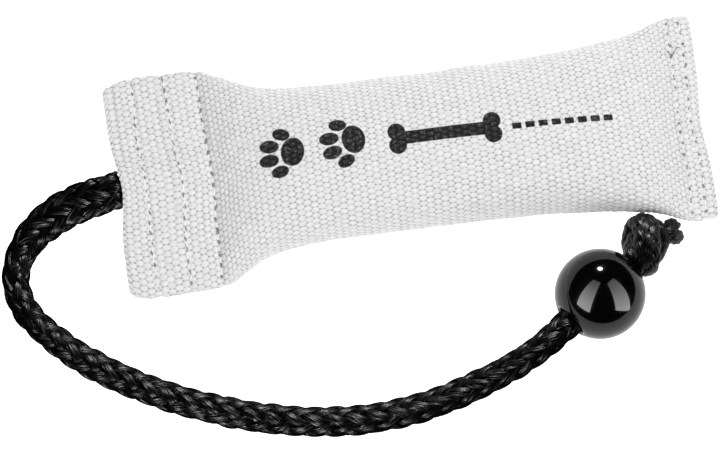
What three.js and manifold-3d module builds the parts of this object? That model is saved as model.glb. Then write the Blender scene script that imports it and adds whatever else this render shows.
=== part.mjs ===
// A dog training bumper: a stitched length of woven hose around a foam core, with a throw rope,
// a throwing bead that slides on the rope, and a stopper knot.
// Millimetres. X runs along the bumper with the rope leaving at -X, Y runs across it, Z is up.
// The origin is under the middle of the bumper, on the surface that it lies on.

import * as THREE from 'three';
import { mergeVertices } from 'three/addons/utils/BufferGeometryUtils.js';
import Module from 'manifold-3d';

const wasm = await Module();
wasm.setup();

// ---------------------------------------------------------------- driving dimensions

const GAP = 0.3;                 // clearance kept between pieces that touch

const LENGTH = 245;              // hose, end fold to end fold
const CLOTH = 1.6;               // thickness of the woven wall
const FLAP_HALF_HEIGHT = 3.7;    // half the thickness of a stitched end: four layers of cloth
const BELLY_HALF_WIDTH = 32.5;
const BELLY_HALF_HEIGHT = 22;
const BELLY_AXIS_Z = 21.4;       // a little less than the half height, so the belly sits flat
const END_AXIS_Z = { left: 17.5, right: 19.5 };
const FLAP_HALF_WIDTH = { left: 47.2, right: 44.2 };
const HEM = { left: 26, right: 14 };             // depth of cloth turned in at each end
const LAST_SEAM_X = { left: -83.5, right: 111.5 };   // seams where the belly begins and ends

const SEAM_X = { a: -110.3, b: -96.6, c: -83.5, d: 111.5, e: 117.5 };
const STITCH_PITCH = 4.7;
const THREAD_WIDTH = 0.9;
const THREAD_HEIGHT = 0.6;
const STITCH_RISE = 0.35;        // how far the middle of a stitch stands above its ends
const SEAM_EDGE_MARGIN = 3.5;    // seams stop this far short of the flap's side edges

const ROPE_DIAMETER = 12;
const TAIL_HALF_WIDTH = 7.8;     // the rope is pressed flat where it is stitched in
const TAIL_HALF_HEIGHT = 2;
const TAIL_END_X = -82;          // inner end of the stitched tail

const BEAD_DIAMETER = 37;
const BEAD_BORE = 13.5;
const BEAD_MOUTH_RADIUS = 1.2;   // rounded lip of the bore
const BEAD_CENTRE = new THREE.Vector3(68.4, -68.8, 18.7);
const BORE_DIRECTION = new THREE.Vector3(0.819, 0.574, 0).normalize();

const KNOT_CORE_RADIUS = 9.4;
const KNOT_DISTANCE = 28.6;      // bead centre to knot centre, along the bore
const KNOT_DROP = 1.6;           // the knot hangs a little below the bore's axis
const KNOT_SIDESTEP = 2.2;       // and lies a little to one side of it
const WRAP_RADIUS = 6.6;         // centre line of a turn of rope round the knot
const WRAP_THICKNESS = 4.6;      // radius of the rope in a turn
const WRAPS = [{ shift: -3.2, tilt: 0.42 }, { shift: 3.6, tilt: -0.5 }];

const STUB_RADIUS = 4.4;
const STUB_TIP = new THREE.Vector3(103.2, -46, 14.2);
const STUB_LENGTH = 12;
const STUB_DIRECTION = new THREE.Vector3(0.94, 0.3, -0.16).normalize();

// Centre line of the free rope, from the hose's mouth round to the bead's bore.
// It leaves level, comes down to the surface, curves round the end of the bumper
// and climbs to the height of the bore.
const ROPE_ROUTE = [
  [-123.5, 0.1, 17.5],
  [-130, -0.9, 16.9],
  [-137.2, -2.1, 15.2],
  [-144.8, -3.9, 12.5],
  [-152, -6.7, 9.6],
  [-158.6, -10.9, 7.5],
  [-163.6, -16.7, 6.4],
  [-167.2, -24, 6.2],
  [-168.1, -32.2, 6.2],
  [-165.7, -41.4, 6.2],
  [-159.2, -51.1, 6.2],
  [-149, -61.3, 6.2],
  [-135.4, -72, 6.2],
  [-117.2, -82.7, 6.2],
  [-98.8, -91.1, 6.2],
  [-77, -98.6, 6.2],
  [-54, -103.6, 6.2],
  [-31, -105.5, 6.3],
  [-9.2, -103.7, 7.2],
  [9.6, -99.4, 9.6],
  [23, -95.3, 12.7],
  [33.6, -91.3, 16],
];
const STRAIGHT_BEFORE_BEAD = 14; // straight rope in front of the bead, which it can slide along

// ---------------------------------------------------------------- shape of the hose

const HALF_LENGTH = LENGTH / 2;

// 1 at the end seam, falling to 0 towards the middle of the belly.
function fade(distance, length, power) {
  return Math.exp(-Math.pow(Math.max(distance, 0) / length, power));
}

function distancePastSeam(x) {
  return x < 0 ? x - LAST_SEAM_X.left : LAST_SEAM_X.right - x;
}

function sideOf(x) {
  return x < 0 ? 'left' : 'right';
}

// Half width of a flat end, with its corners rounded off.
function flapHalfWidth(x) {
  const side = sideOf(x);
  const corner = side === 'left' ? { start: 10.5, depth: 2.4 } : { start: 4, depth: 0.8 };
  const intoCorner = Math.max(0, corner.start - (HALF_LENGTH - Math.abs(x))) / corner.start;
  const spread = side === 'left' ? 0.9 * Math.pow((x + 103) / 20, 2) : 0;
  return FLAP_HALF_WIDTH[side] - Math.min(spread, 0.9) - corner.depth * intoCorner ** 2;
}

function halfWidth(x) {
  const distance = distancePastSeam(x);
  const flap = flapHalfWidth(distance > 0 ? LAST_SEAM_X[sideOf(x)] : x);
  const amount = x < 0 ? fade(distance, 17, 1.5) : fade(distance, 22, 1);
  return BELLY_HALF_WIDTH + (flap - BELLY_HALF_WIDTH) * amount;
}

function halfHeight(x) {
  const distance = distancePastSeam(x);
  const amount = x < 0 ? fade(distance, 19, 1.25) : fade(distance, 27, 1.1);
  return BELLY_HALF_HEIGHT + (FLAP_HALF_HEIGHT - BELLY_HALF_HEIGHT) * amount;
}

// Height of the hose's own axis: the ends droop a little.
function axisZ(x) {
  const toEnd = Math.pow(Math.abs(x) / HALF_LENGTH, 3);
  return BELLY_AXIS_Z + (END_AXIS_Z[sideOf(x)] - BELLY_AXIS_Z) * toEnd;
}

// Extra half height over the rope tail, on the stitched rope end only.
function tailHump(x, y) {
  const reach = TAIL_HALF_WIDTH + 3;
  const across = Math.exp(-Math.pow(y / reach, 4));
  const along = THREE.MathUtils.smoothstep(LAST_SEAM_X.left + 6 - x, 0, 12);
  return TAIL_HALF_HEIGHT * across * along;
}

// One cross-section of the hose, a given depth below its outer surface.
const SECTION_POINTS = 36;

function hoseRing(x, depth) {
  const a = halfWidth(x) - depth;
  const b = halfHeight(x) - depth;
  const flatness = (BELLY_HALF_HEIGHT - halfHeight(x)) / (BELLY_HALF_HEIGHT - FLAP_HALF_HEIGHT);
  const power = 2 / (2 + 2.5 * flatness);
  const ring = [];
  for (let i = 0; i < SECTION_POINTS; i += 1) {
    const angle = (i / SECTION_POINTS) * 2 * Math.PI;
    const c = Math.cos(angle);
    const s = Math.sin(angle);
    const y = a * Math.sign(c) * Math.pow(Math.abs(c), power);
    const z = b * Math.sign(s) * Math.pow(Math.abs(s), power);
    const hump = Math.sign(s) * Math.min(1, Math.abs(s) * 4) * tailHump(x, y);
    ring.push(new THREE.Vector3(x, y, Math.max(axisZ(x) + z + hump, depth)));
  }
  return ring;
}

// Height of the hose's upper face above its axis, at a distance across it.
function faceHeight(x, y) {
  const upper = hoseRing(x, 0).slice(0, SECTION_POINTS / 2 + 1);
  const i = upper.findIndex((p) => p.y <= y);
  const [outer, inner] = [upper[i - 1], upper[i]];
  const share = (outer.y - y) / (outer.y - inner.y);
  return THREE.MathUtils.lerp(outer.z, inner.z, share) - axisZ(x);
}

// ---------------------------------------------------------------- mesh helpers

// Skins a list of rings. The skin closes back on its first ring, or is capped at both ends.
// Each ring turns right-handed about the direction in which the list advances.
function skin(rings, closed) {
  const count = rings[0].length;
  const positions = rings.flat().flatMap((p) => [p.x, p.y, p.z]);
  const index = [];
  const bands = closed ? rings.length : rings.length - 1;
  for (let j = 0; j < bands; j += 1) {
    const here = j * count;
    const next = ((j + 1) % rings.length) * count;
    for (let i = 0; i < count; i += 1) {
      const k = (i + 1) % count;
      index.push(here + i, next + k, next + i);
      index.push(here + i, here + k, next + k);
    }
  }
  if (!closed) {
    const last = (rings.length - 1) * count;
    for (let i = 1; i < count - 1; i += 1) {
      index.push(0, i + 1, i);
      index.push(last, last + i, last + i + 1);
    }
  }
  const geometry = new THREE.BufferGeometry();
  geometry.setAttribute('position', new THREE.Float32BufferAttribute(positions, 3));
  geometry.setIndex(index);
  return geometry;
}

function solidFrom(geometry, matrix = new THREE.Matrix4()) {
  const bare = geometry.clone().applyMatrix4(matrix);
  bare.deleteAttribute('normal');
  bare.deleteAttribute('uv');
  const merged = mergeVertices(bare, 1e-4);
  const mesh = new wasm.Mesh({
    numProp: 3,
    vertProperties: new Float32Array(merged.attributes.position.array),
    triVerts: new Uint32Array(merged.index.array),
  });
  return new wasm.Manifold(mesh);
}

function geometryFrom(solid) {
  const mesh = solid.getMesh();
  const geometry = new THREE.BufferGeometry();
  geometry.setAttribute('position', new THREE.Float32BufferAttribute(mesh.vertProperties, 3));
  geometry.setIndex(Array.from(mesh.triVerts));
  return geometry;
}

function along(direction, centre) {
  const turn = new THREE.Quaternion().setFromUnitVectors(new THREE.Vector3(0, 1, 0), direction);
  return new THREE.Matrix4().compose(centre, turn, new THREE.Vector3(1, 1, 1));
}

// ---------------------------------------------------------------- materials

const canvas = new THREE.MeshStandardMaterial({ color: 0xe9e9e7, roughness: 0.95, metalness: 0 });
const foam = new THREE.MeshStandardMaterial({ color: 0xd8d4c8, roughness: 1, metalness: 0 });
const thread = new THREE.MeshStandardMaterial({ color: 0xdededc, roughness: 0.8, metalness: 0 });
const ropeFibre = new THREE.MeshStandardMaterial({ color: 0x101012, roughness: 0.5, metalness: 0 });
const glossPlastic = new THREE.MeshStandardMaterial({ color: 0x050505, roughness: 0.08, metalness: 0 });

// ---------------------------------------------------------------- the pieces

// Stations along the hose. They are closest together where the belly swells.
const STATIONS = [
  -120.8, -116, SEAM_X.a, -103.5, SEAM_X.b, -90, SEAM_X.c, -79.5, -75, -70, -64, -57, -48, -34,
  -17, 0, 17, 34, 48, 60, 71, 80, 88, 95, 101, 106, 109, SEAM_X.d, SEAM_X.e, 120.8,
];

// Rings round the fold at one end, from the outer surface to the turned-in hem.
function foldRings(side) {
  const sign = side === 'left' ? -1 : 1;
  const noseDepth = CLOTH + GAP / 2;
  const quarters = [-0.8, 0, 0.8];
  return quarters.map((q) => {
    const x = sign * (HALF_LENGTH - 1.7 * (1 - Math.sqrt(1 - q * q)));
    return hoseRing(x, noseDepth * (1 + q));
  });
}

// The hem's inner face, its cut edge, and back along its outer face to the fold.
function hemRings(side) {
  const sign = side === 'left' ? -1 : 1;
  const fold = sign * (HALF_LENGTH - 1.7);
  const cut = sign * (HALF_LENGTH - HEM[side]);
  const middle = (fold + cut) / 2;
  const innerDepth = 2 * CLOTH + GAP;
  const outerDepth = CLOTH + GAP;
  const inner = [fold, middle, cut].map((x) => hoseRing(x, innerDepth));
  const outer = [cut, middle, fold].map((x) => hoseRing(x, outerDepth));
  return [...inner, ...outer];
}

// One closed skin: along the outside, round one fold and its hem, back along the inside of the
// wall, and round the other hem and fold.
function hoseSleeve() {
  const rings = [
    ...STATIONS.map((x) => hoseRing(x, 0)),
    ...foldRings('right'),
    ...hemRings('right'),
    ...STATIONS.toReversed().map((x) => hoseRing(x, CLOTH)),
    ...hemRings('left').toReversed(),
    ...foldRings('left').toReversed(),
  ];
  return skin(rings, true);
}

function foamCore() {
  const inside = STATIONS.filter((x) => x > LAST_SEAM_X.left + 3 && x < LAST_SEAM_X.right - 4);
  return skin(inside.map((x) => hoseRing(x, CLOTH + GAP)), false);
}

// The flattened end of the rope, between the two layers of hem.
function ropeTail() {
  const stations = [-HALF_LENGTH + 0.1, -112, -104, -96.6, -90, TAIL_END_X];
  const sides = 12;
  const rings = stations.map((x) => {
    const ring = [];
    for (let i = 0; i < sides; i += 1) {
      const angle = (i / sides) * 2 * Math.PI;
      const y = TAIL_HALF_WIDTH * Math.cos(angle);
      const z = (TAIL_HALF_HEIGHT - 0.2) * Math.sin(angle);
      ring.push(new THREE.Vector3(x, y, axisZ(x) + z));
    }
    return ring;
  });
  return skin(rings, false);
}

// One thread of a lock-stitched seam. It lies on one face of the flap and rises in each stitch.
function seamThread(x, face) {
  const reach = halfWidth(x) - SEAM_EDGE_MARGIN;
  const stitches = Math.round((2 * reach) / STITCH_PITCH);
  const rings = [];
  for (let j = 0; j <= 2 * stitches; j += 1) {
    const y = -reach + (j / stitches) * reach;
    const rise = j % 2 === 0 ? 0 : STITCH_RISE;
    const base = faceHeight(x, y) + GAP + rise;
    const low = axisZ(x) + face * base;
    const high = axisZ(x) + face * (base + THREAD_HEIGHT);
    const ring = [
      new THREE.Vector3(x - THREAD_WIDTH / 2, y, low),
      new THREE.Vector3(x + THREAD_WIDTH / 2, y, low),
      new THREE.Vector3(x + THREAD_WIDTH / 2, y, high),
      new THREE.Vector3(x - THREAD_WIDTH / 2, y, high),
    ];
    rings.push(face > 0 ? ring.toReversed() : ring);
  }
  return skin(rings, false);
}

function boreAxisPoint(distance) {
  return BEAD_CENTRE.clone().addScaledVector(BORE_DIRECTION, distance);
}

function freeRope() {
  const points = ROPE_ROUTE.map((p) => new THREE.Vector3(...p));
  const mouth = BEAD_DIAMETER / 2 - 1;
  points.push(boreAxisPoint(-mouth - STRAIGHT_BEFORE_BEAD));
  points.push(boreAxisPoint(-mouth - STRAIGHT_BEFORE_BEAD / 2));
  points.push(boreAxisPoint(-mouth));
  points.push(boreAxisPoint(0));
  points.push(boreAxisPoint(mouth));
  const path = new THREE.CatmullRomCurve3(points, false, 'centripetal');
  const section = new THREE.Shape();
  const sides = 10;
  for (let i = 0; i < sides; i += 1) {
    const angle = (i / sides) * 2 * Math.PI;
    const x = (ROPE_DIAMETER / 2) * Math.cos(angle);
    const y = (ROPE_DIAMETER / 2) * Math.sin(angle);
    if (i === 0) section.moveTo(x, y);
    else section.lineTo(x, y);
  }
  return new THREE.ExtrudeGeometry(section, { steps: 32, extrudePath: path, curveSegments: 1 });
}

// A ball with a straight bore whose mouths are rounded over.
function bead() {
  const radius = BEAD_DIAMETER / 2;
  const bore = BEAD_BORE / 2;
  const lipRadius = bore + BEAD_MOUTH_RADIUS;
  const lipAngle = Math.acos(lipRadius / radius);
  const lipHeight = radius * Math.sin(lipAngle);
  const profile = [];
  const bands = 16;
  for (let i = 0; i <= bands; i += 1) {
    const angle = -lipAngle + (2 * lipAngle * i) / bands;
    profile.push(new THREE.Vector2(radius * Math.cos(angle), radius * Math.sin(angle)));
  }
  profile.push(new THREE.Vector2(bore + 0.35 * BEAD_MOUTH_RADIUS, lipHeight - 0.1));
  profile.push(new THREE.Vector2(bore, lipHeight - BEAD_MOUTH_RADIUS));
  profile.push(new THREE.Vector2(bore, -lipHeight + BEAD_MOUTH_RADIUS));
  profile.push(new THREE.Vector2(bore + 0.35 * BEAD_MOUTH_RADIUS, -lipHeight + 0.1));
  profile.push(profile[0].clone());
  return mergeVertices(new THREE.LatheGeometry(profile, 32));
}

function knotCentre() {
  const sideways = new THREE.Vector3(-BORE_DIRECTION.y, BORE_DIRECTION.x, 0);
  const centre = boreAxisPoint(KNOT_DISTANCE).addScaledVector(sideways, KNOT_SIDESTEP);
  centre.z -= KNOT_DROP;
  return centre;
}

// The lump of the knot, grown outwards by a given amount: a core with two slanting turns of rope.
function knotSolid(growth) {
  const place = along(BORE_DIRECTION, knotCentre());
  const core = new THREE.SphereGeometry(KNOT_CORE_RADIUS + growth, 20, 12);
  let body = solidFrom(core, place);
  for (const { shift, tilt } of WRAPS) {
    const turn = new THREE.TorusGeometry(WRAP_RADIUS, WRAP_THICKNESS + growth, 10, 24);
    const pose = new THREE.Matrix4().makeTranslation(0, shift, 0);
    pose.multiply(new THREE.Matrix4().makeRotationZ(tilt));
    pose.multiply(new THREE.Matrix4().makeRotationX(Math.PI / 2));
    body = body.add(solidFrom(turn, place.clone().multiply(pose)));
  }
  return body;
}

// The knot is drawn up tight, so it is hollowed where it bears on the bead.
function stopperKnot() {
  const ball = new THREE.SphereGeometry(BEAD_DIAMETER / 2 + GAP, 40, 28);
  const seat = solidFrom(ball, new THREE.Matrix4().setPosition(BEAD_CENTRE));
  return geometryFrom(knotSolid(0).subtract(seat));
}

function ropeEnd() {
  const stub = new THREE.CylinderGeometry(STUB_RADIUS + 0.3, STUB_RADIUS, STUB_LENGTH, 12, 1);
  const centre = STUB_TIP.clone().addScaledVector(STUB_DIRECTION, -STUB_LENGTH / 2);
  return geometryFrom(solidFrom(stub, along(STUB_DIRECTION, centre)).subtract(knotSolid(GAP)));
}

// ---------------------------------------------------------------- assembly

function piece(name, geometry, material) {
  const mesh = new THREE.Mesh(geometry, material);
  mesh.name = name;
  return mesh;
}

const bumper = new THREE.Group();
bumper.add(piece('hose_sleeve', hoseSleeve(), canvas));
bumper.add(piece('foam_core', foamCore(), foam));
bumper.add(piece('rope_tail', ropeTail(), ropeFibre));
for (const [letter, x] of Object.entries(SEAM_X)) {
  bumper.add(piece(`seam_${letter}_needle_thread`, seamThread(x, 1), thread));
  bumper.add(piece(`seam_${letter}_bobbin_thread`, seamThread(x, -1), thread));
}
bumper.add(piece('rope', freeRope(), ropeFibre));
bumper.add(piece('stopper_knot', stopperKnot(), ropeFibre));
bumper.add(piece('rope_end', ropeEnd(), ropeFibre));

const ball = piece('bead', bead(), glossPlastic);
ball.position.copy(BEAD_CENTRE);
ball.quaternion.setFromUnitVectors(new THREE.Vector3(0, 1, 0), BORE_DIRECTION);
bumper.add(ball);

export default bumper;
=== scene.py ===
"""A dog training bumper: woven hose, stitched ends, braided throw rope, polished bead and knot.

Shapes are worked out in millimetres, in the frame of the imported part: X along the bumper,
Y across it and Z up. They become metres when a mesh is made.
"""

import math

import bpy
import numpy as np
from mathutils import Matrix, Vector


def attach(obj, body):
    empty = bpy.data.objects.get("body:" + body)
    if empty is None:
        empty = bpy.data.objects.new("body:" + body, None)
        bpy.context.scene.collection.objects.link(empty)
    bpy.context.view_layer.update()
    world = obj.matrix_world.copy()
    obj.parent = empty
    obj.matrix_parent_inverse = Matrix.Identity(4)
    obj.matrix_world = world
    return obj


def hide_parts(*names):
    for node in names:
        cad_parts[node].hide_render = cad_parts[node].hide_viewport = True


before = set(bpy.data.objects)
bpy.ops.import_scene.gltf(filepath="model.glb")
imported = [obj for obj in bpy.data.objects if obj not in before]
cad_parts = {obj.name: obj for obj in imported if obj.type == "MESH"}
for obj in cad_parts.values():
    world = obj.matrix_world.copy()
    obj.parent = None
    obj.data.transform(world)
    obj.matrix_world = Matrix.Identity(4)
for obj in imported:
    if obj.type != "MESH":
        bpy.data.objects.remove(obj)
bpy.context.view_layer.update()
scene = bpy.context.scene
scene.view_settings.view_transform = "Standard"

MM = 0.001

# ------------ camera

VIEW_TARGET = Vector((-0.0247, -0.0282, 0.0122))
VIEW_DISTANCE = 0.9
VIEW_TILT = math.radians(14)     # the camera leans this far from looking straight down
VIEW_TURN = math.radians(7.48)   # and is turned this far about the vertical
VIEW_LENS = 109.09

VIEW_RIGHT = Vector((math.cos(VIEW_TURN), -math.sin(VIEW_TURN), 0))
VIEW_GROUND = Vector((math.sin(VIEW_TURN), math.cos(VIEW_TURN), 0))
VIEW_UP = VIEW_GROUND * math.cos(VIEW_TILT) + Vector((0, 0, math.sin(VIEW_TILT)))
VIEW_BACK = VIEW_RIGHT.cross(VIEW_UP)


def add_camera():
    data = bpy.data.cameras.new("camera")
    data.lens = VIEW_LENS
    data.sensor_width = 36
    data.clip_start = 0.05
    data.clip_end = 20
    camera = bpy.data.objects.new("camera", data)
    scene.collection.objects.link(camera)
    turn = Matrix((VIEW_RIGHT, VIEW_UP, VIEW_BACK)).transposed().to_4x4()
    place = Matrix.Translation(VIEW_TARGET + VIEW_BACK * VIEW_DISTANCE)
    camera.matrix_world = place @ turn
    scene.camera = camera


add_camera()

# ------------ driving dimensions, in mm

HALF_LENGTH = 122.5
CLOTH = 1.6
GAP = 0.3
FLAP_HALF_HEIGHT = 3.7
BELLY_HALF_WIDTH = 32.5
BELLY_HALF_HEIGHT = 22
BELLY_AXIS_Z = 21.4
LEFT_AXIS_Z = 17.5
RIGHT_AXIS_Z = 19.5
LEFT_HALF_WIDTH = 47.2
RIGHT_HALF_WIDTH = 44.2
LEFT_HEM = 26
RIGHT_HEM = 14
BELLY_LEFT = -83.5               # the last seam at each end, where the belly begins
BELLY_RIGHT = 111.5
FOLD_REACH = 1.7                 # how far each end's rounded fold reaches inwards
FOLD_LENGTH = 5.5                # cloth that goes round a fold

# Each seam's place along X, the groove that it draws in the cloth (depth and half width), the
# slant and depth of its stitches, and the dark dabs of painted shade at each needle hole (half
# length and half width, and how many).
SEAMS = {
    "a": dict(x=-110.3, groove=(0.55, 1.1), slant=0.42, sunk=0.3, shade_speck=(0.95, 0.34), shade_specks=1),
    "b": dict(x=-96.6, groove=(0.45, 1.0), slant=0.3, sunk=0.15, shade_speck=(1.0, 0.22), shade_specks=2),
    "c": dict(x=-83.5, groove=(0.9, 1.5), slant=0.35, sunk=0.55, shade_speck=(0.75, 0.5), shade_specks=2),
    "d": dict(x=111.9, groove=(0.7, 1.2), slant=0.5, sunk=0.4, shade_speck=(0.5, 0.42), shade_specks=2),
    "e": dict(x=117.5, groove=(0.55, 1.1), slant=0.5, sunk=0.35, shade_speck=(0.5, 0.42), shade_specks=2),
}
STITCH_PITCH = 4.7
STITCH_SIZE = (0.36, 0.30)       # half width and half height
SEAM_EDGE_MARGIN = 3.5

CELLS_ROUND = 74                 # weave cells round the hose
COLUMN_PITCH = 2.91              # one column of cells, along the hose
COLUMN_STEP = 0.866              # the same in the weave's own units, where cells are 1 apart
HIDDEN_STEP = 4.2                # columns from ring to ring where the cloth is out of sight

ROPE_RADIUS = 6.0
BRAID_LEAD = 69                  # length of rope in which a strand goes once round
KNOT_LEAD = 50                   # the same in the knot, where the rope is crumpled shorter
BEAD_RADIUS = 18.5
BORE_RADIUS = 6.75
BEAD_CENTRE = np.array([68.4, -68.8, 18.7])
BORE_DIRECTION = np.array([0.819, 0.574, 0]) / math.hypot(0.819, 0.574)
BEAD_MOUTH = BEAD_RADIUS - 1     # from the bead's centre to where its bore opens
STRAIGHT_BEFORE_BEAD = 14
KNOT_DISTANCE = 28.6             # the knot's middle: from the bead's, lower, and to the left
KNOT_DROP = 1.6
KNOT_SIDESTEP = 2.2
UPWARD = np.array([0.0, 0.0, 1.0])

# Centre line of the free rope, from the hose's mouth round to the bead, in metres.
ROPE_ROUTE = [
    (-0.1235, 0.0001, 0.0175),
    (-0.13, -0.0009, 0.0169),
    (-0.1372, -0.0021, 0.0152),
    (-0.1448, -0.0039, 0.0125),
    (-0.152, -0.0067, 0.0096),
    (-0.1586, -0.0109, 0.0075),
    (-0.1636, -0.0167, 0.0064),
    (-0.1672, -0.024, 0.0062),
    (-0.1681, -0.0322, 0.0062),
    (-0.1657, -0.0414, 0.0062),
    (-0.1592, -0.0511, 0.0062),
    (-0.149, -0.0613, 0.0062),
    (-0.1354, -0.072, 0.0062),
    (-0.1172, -0.0827, 0.0062),
    (-0.0988, -0.0911, 0.0062),
    (-0.077, -0.0986, 0.0062),
    (-0.054, -0.1036, 0.0062),
    (-0.031, -0.1055, 0.0063),
    (-0.0092, -0.1037, 0.0072),
    (0.0096, -0.0994, 0.0096),
    (0.023, -0.0953, 0.0127),
    (0.0336, -0.0913, 0.016),
]

# ------------ mesh helpers


def make_piece(name, points, quads, materials, body, node):
    """A smooth mesh from points in mm, which stands for a CAD node and rides on its body."""
    mesh = bpy.data.meshes.new(name)
    mesh.vertices.add(len(points))
    mesh.vertices.foreach_set("co", (points * MM).astype(np.float32).ravel())
    mesh.loops.add(quads.size)
    mesh.loops.foreach_set("vertex_index", quads.astype(np.int32).ravel())
    mesh.polygons.add(len(quads))
    mesh.polygons.foreach_set("loop_start", np.arange(0, quads.size, 4, dtype=np.int32))
    mesh.update(calc_edges=True)
    mesh.shade_smooth()
    for material in materials:
        mesh.materials.append(material)
    piece = bpy.data.objects.new(name, mesh)
    scene.collection.objects.link(piece)
    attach(piece, body)
    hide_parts(node)
    return piece


def set_uv(piece, name, corners):
    """Gives a mesh a UV map, with a pair of numbers for each corner of each face."""
    layer = piece.data.uv_layers.new(name=name)
    layer.data.foreach_set("uv", np.asarray(corners, np.float32).ravel())


def grid_quads(rows, columns, close_rows=False):
    """Quads between neighbouring points of a grid of closed rows, stored row by row."""
    row = np.arange(rows if close_rows else rows - 1)
    r, c = np.meshgrid(row, np.arange(columns), indexing="ij")
    r2 = (r + 1) % rows
    c2 = (c + 1) % columns
    quads = np.stack([r * columns + c, r * columns + c2, r2 * columns + c2, r2 * columns + c], -1)
    return quads.reshape(-1, 4)


def tube_quads(rows, columns):
    """A grid's quads, and more that close its two ends. The columns are even in number."""
    i = np.arange(columns // 2 - 1)
    end = np.stack([i, i + 1, columns - 2 - i, columns - 1 - i], 1)
    return np.concatenate([grid_quads(rows, columns), end[:, ::-1], end + (rows - 1) * columns])


class Bodies:
    """Closed bodies gathered into one mesh, each with its material's slot and its UVs."""

    def __init__(self):
        self.points = []
        self.quads = []
        self.slots = []
        self.corners = []
        self.count = 0

    def add(self, points, quads, slot=0, corners=None):
        self.points.append(points)
        self.quads.append(quads + self.count)
        self.slots.append(np.full(len(quads), slot, np.int32))
        self.corners.append(np.zeros((4 * len(quads), 2)) if corners is None else corners)
        self.count += len(points)

    def make(self, name, materials, slot, node, uv_name=None):
        points, quads = np.concatenate(self.points), np.concatenate(self.quads)
        piece = make_piece(name, points, quads, materials, "bumper", node)
        piece.data.polygons.foreach_set("material_index", np.concatenate(self.slots))
        if uv_name:
            set_uv(piece, uv_name, np.concatenate(self.corners))
        return piece


def unit(vectors):
    return vectors / np.linalg.norm(vectors, axis=-1, keepdims=True)


def walk(points):
    """Distance walked to each point of a path."""
    return np.concatenate([[0], np.cumsum(np.linalg.norm(np.diff(points, axis=0), axis=1))])


def along_table(wanted, known, table):
    """Rows of a three-column table, read off between its known places."""
    return np.stack([np.interp(wanted, known, table[:, k]) for k in range(3)], -1)


def round_angles(count):
    """Even angles that go once round, without the last."""
    return np.arange(count) / count * 2 * math.pi


def smoothstep(value, low, high):
    t = np.clip((value - low) / (high - low), 0, 1)
    return t * t * (3 - 2 * t)


def ripple(x, y, seed, size):
    """Smooth wandering between about -1 and 1, with features of a given size in mm."""
    rng = np.random.default_rng(seed)
    total = 0
    for _ in range(7):
        heading = rng.uniform(0, 2 * math.pi)
        wave = rng.uniform(0.7, 1.6) * 2 * math.pi / size
        phase = rng.uniform(0, 2 * math.pi)
        total = total + np.sin(wave * (x * math.cos(heading) + y * math.sin(heading)) + phase)
    return total / 3.2


# ------------ node helpers


class Wires:
    """A material's node tree, with short ways to add and join nodes."""

    def __init__(self, name):
        self.material = bpy.data.materials.new(name)
        self.material.use_nodes = True
        self.tree = self.material.node_tree
        self.shader = self.tree.nodes["Principled BSDF"]

    def node(self, kind, **settings):
        made = self.tree.nodes.new(kind)
        for key, value in settings.items():
            setattr(made, key, value)
        return made

    def feed(self, socket, value):
        if isinstance(value, bpy.types.NodeSocket):
            self.tree.links.new(value, socket)
        else:
            socket.default_value = value

    def math(self, operation, a, b=0.0, c=0.0):
        made = self.node("ShaderNodeMath", operation=operation)
        for socket, value in zip(made.inputs, (a, b, c)):
            self.feed(socket, value)
        return made.outputs[0]

    def times(self, a, b):
        return self.math("MULTIPLY", a, b)

    def times_plus(self, a, b, c):
        return self.math("MULTIPLY_ADD", a, b, c)

    def minus(self, a, b):
        return self.math("SUBTRACT", a, b)

    def step(self, value, low, high, out_low=0.0, out_high=1.0):
        """A smooth step of value from low to high."""
        made = self.node("ShaderNodeMapRange", interpolation_type="SMOOTHSTEP")
        for socket, given in zip(made.inputs, (value, low, high, out_low, out_high)):
            self.feed(socket, given)
        return made.outputs[0]

    def mix(self, factor, a, b):
        made = self.node("ShaderNodeMix", data_type="RGBA")
        self.feed(made.inputs[0], factor)
        self.feed(made.inputs[6], a)
        self.feed(made.inputs[7], b)
        return made.outputs[2]

    def uv(self, name):
        made = self.node("ShaderNodeUVMap", uv_map=name)
        parts = self.node("ShaderNodeSeparateXYZ")
        self.tree.links.new(made.outputs[0], parts.inputs[0])
        return parts.outputs[0], parts.outputs[1]

    def vector(self, x, y=0.0, z=0.0):
        made = self.node("ShaderNodeCombineXYZ")
        for socket, value in zip(made.inputs, (x, y, z)):
            self.feed(socket, value)
        return made.outputs[0]

    def place(self):
        return self.node("ShaderNodeTexCoord").outputs["Object"]

    def noise(self, vector, scale, detail=2.0, roughness=0.5):
        made = self.node("ShaderNodeTexNoise")
        self.feed(made.inputs["Vector"], vector)
        made.inputs["Scale"].default_value = scale
        made.inputs["Detail"].default_value = detail
        made.inputs["Roughness"].default_value = roughness
        return made.outputs["Fac"]

    def bump(self, height, distance, strength=1.0):
        made = self.node("ShaderNodeBump")
        made.inputs["Strength"].default_value = strength
        made.inputs["Distance"].default_value = distance
        self.feed(made.inputs["Height"], height)
        self.tree.links.new(made.outputs[0], self.shader.inputs["Normal"])

    def set(self, **values):
        for name, value in values.items():
            self.feed(self.shader.inputs[name.replace("_", " ")], value)


# ------------ materials


def lattice_distance(wires, u, v):
    """Distance to the nearest cell of the staggered weave. Cells touch at about 0.5."""

    def to_cells(first_u, first_v):
        along = wires.math("FRACT", wires.times_plus(u, 0.5, 0.5 - first_u / 2))
        along = wires.times(wires.minus(along, 0.5), 2 * COLUMN_STEP)
        across = wires.math("FRACT", wires.math("ADD", v, 0.5 - first_v))
        across = wires.minus(across, 0.5)
        squares = wires.times_plus(along, along, wires.times(across, across))
        return wires.math("SQRT", squares)

    return wires.math("MINIMUM", to_cells(0, 0), to_cells(1, 0.5))


INK_EDGE = 0.16                  # half the width of the print's soft edge, in mm


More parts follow.
